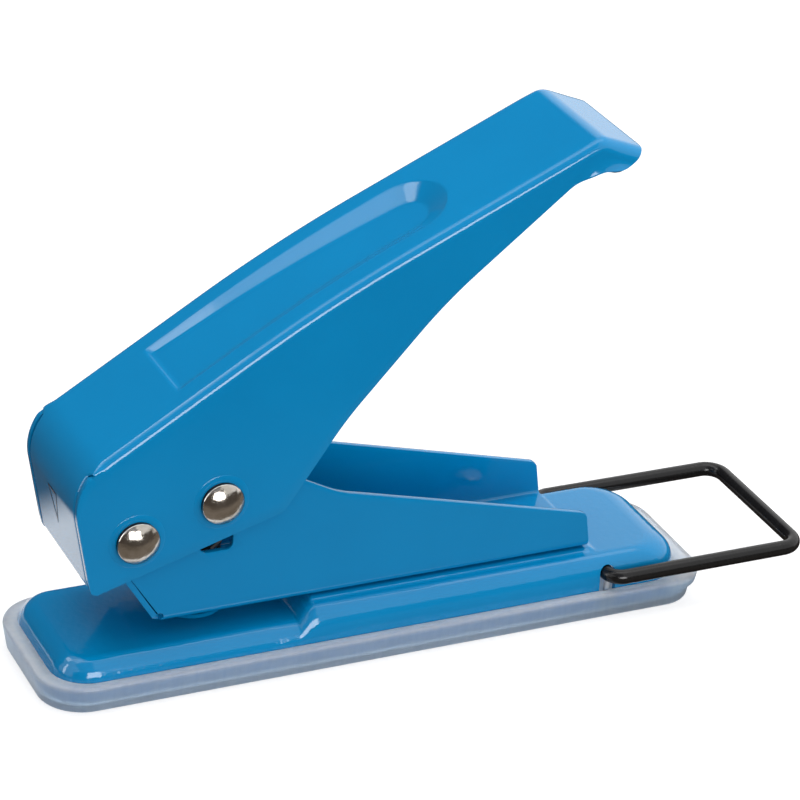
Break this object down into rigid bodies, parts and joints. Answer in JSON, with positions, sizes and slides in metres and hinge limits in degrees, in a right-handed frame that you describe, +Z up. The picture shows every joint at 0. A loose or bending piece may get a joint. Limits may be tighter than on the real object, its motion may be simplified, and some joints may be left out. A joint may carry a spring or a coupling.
{
  "type": "single hole punch",
  "caption": "Hand lever punch for paper: pressed steel handle on a channel frame, sprung punch and die, moulded chip tray and a wire bail that locks the handle down.",
  "frame": {"origin": "where the punch axis meets the surface that the tray stands on", "axes": "+Z up along the punch axis, +X from the nose to the lock bail, +Y across"},
  "size_m": [0.1347, 0.0316, 0.0853],
  "materials": {
    "blue_paint": "glossy enamel",
    "nickel": "bright nickel plate",
    "tool_steel": "ground",
    "spring_steel": "drawn wire",
    "black_wire": "satin black coat",
    "tray_plastic": "translucent moulding"
  },
  "bodies": {
    "tray": {"chip_tray": "tray_plastic"},
    "base": {"base_pan": "blue_paint", "die_bush": "blue_paint", "frame_channel": "blue_paint", "frame_rivet_front": "nickel", "frame_rivet_rear": "nickel", "punch_guide": "tool_steel", "return_spring": "spring_steel", "pivot_sleeve": "tool_steel"},
    "lever": {"handle": "blue_paint", "pivot_rivet": "nickel", "pivot_washer_near": "nickel", "pivot_washer_far": "nickel", "drive_rivet": "nickel", "drive_washer_near": "nickel", "drive_washer_far": "nickel", "drive_sleeve": "tool_steel"},
    "punch": {"punch_pin": "tool_steel", "spring_washer": "nickel"},
    "bail": {"lock_bail": "black_wire"}
  },
  "joints": [
    {"name": "tray_release", "type": "slide", "parent": "tray", "child": "base", "axis": [0, 0, 1], "range_m": [0, 0.02]},
    {"name": "lever_hinge", "type": "hinge", "parent": "base", "child": "lever", "pos_m": [-0.0137, 0, 0.0279], "axis": [0, 1, 0], "range_deg": [0, 29.5], "stiffness_Nm_per_rad": 0.3, "springref_deg": -14.32},
    {"name": "punch_slide", "type": "slide", "parent": "base", "child": "punch", "axis": [0, 0, -1], "range_m": [0, 0.0074], "deforming": ["return_spring"]},
    {"name": "bail_hinge", "type": "hinge", "parent": "base", "child": "bail", "pos_m": [0.0692, 0, 0.0074], "axis": [0, -1, 0], "range_deg": [0, 62]}
  ],
  "couplings": [
    {"joint": "punch_slide", "follows": "lever_hinge", "m_per_rad": 0.01425}
  ]
}
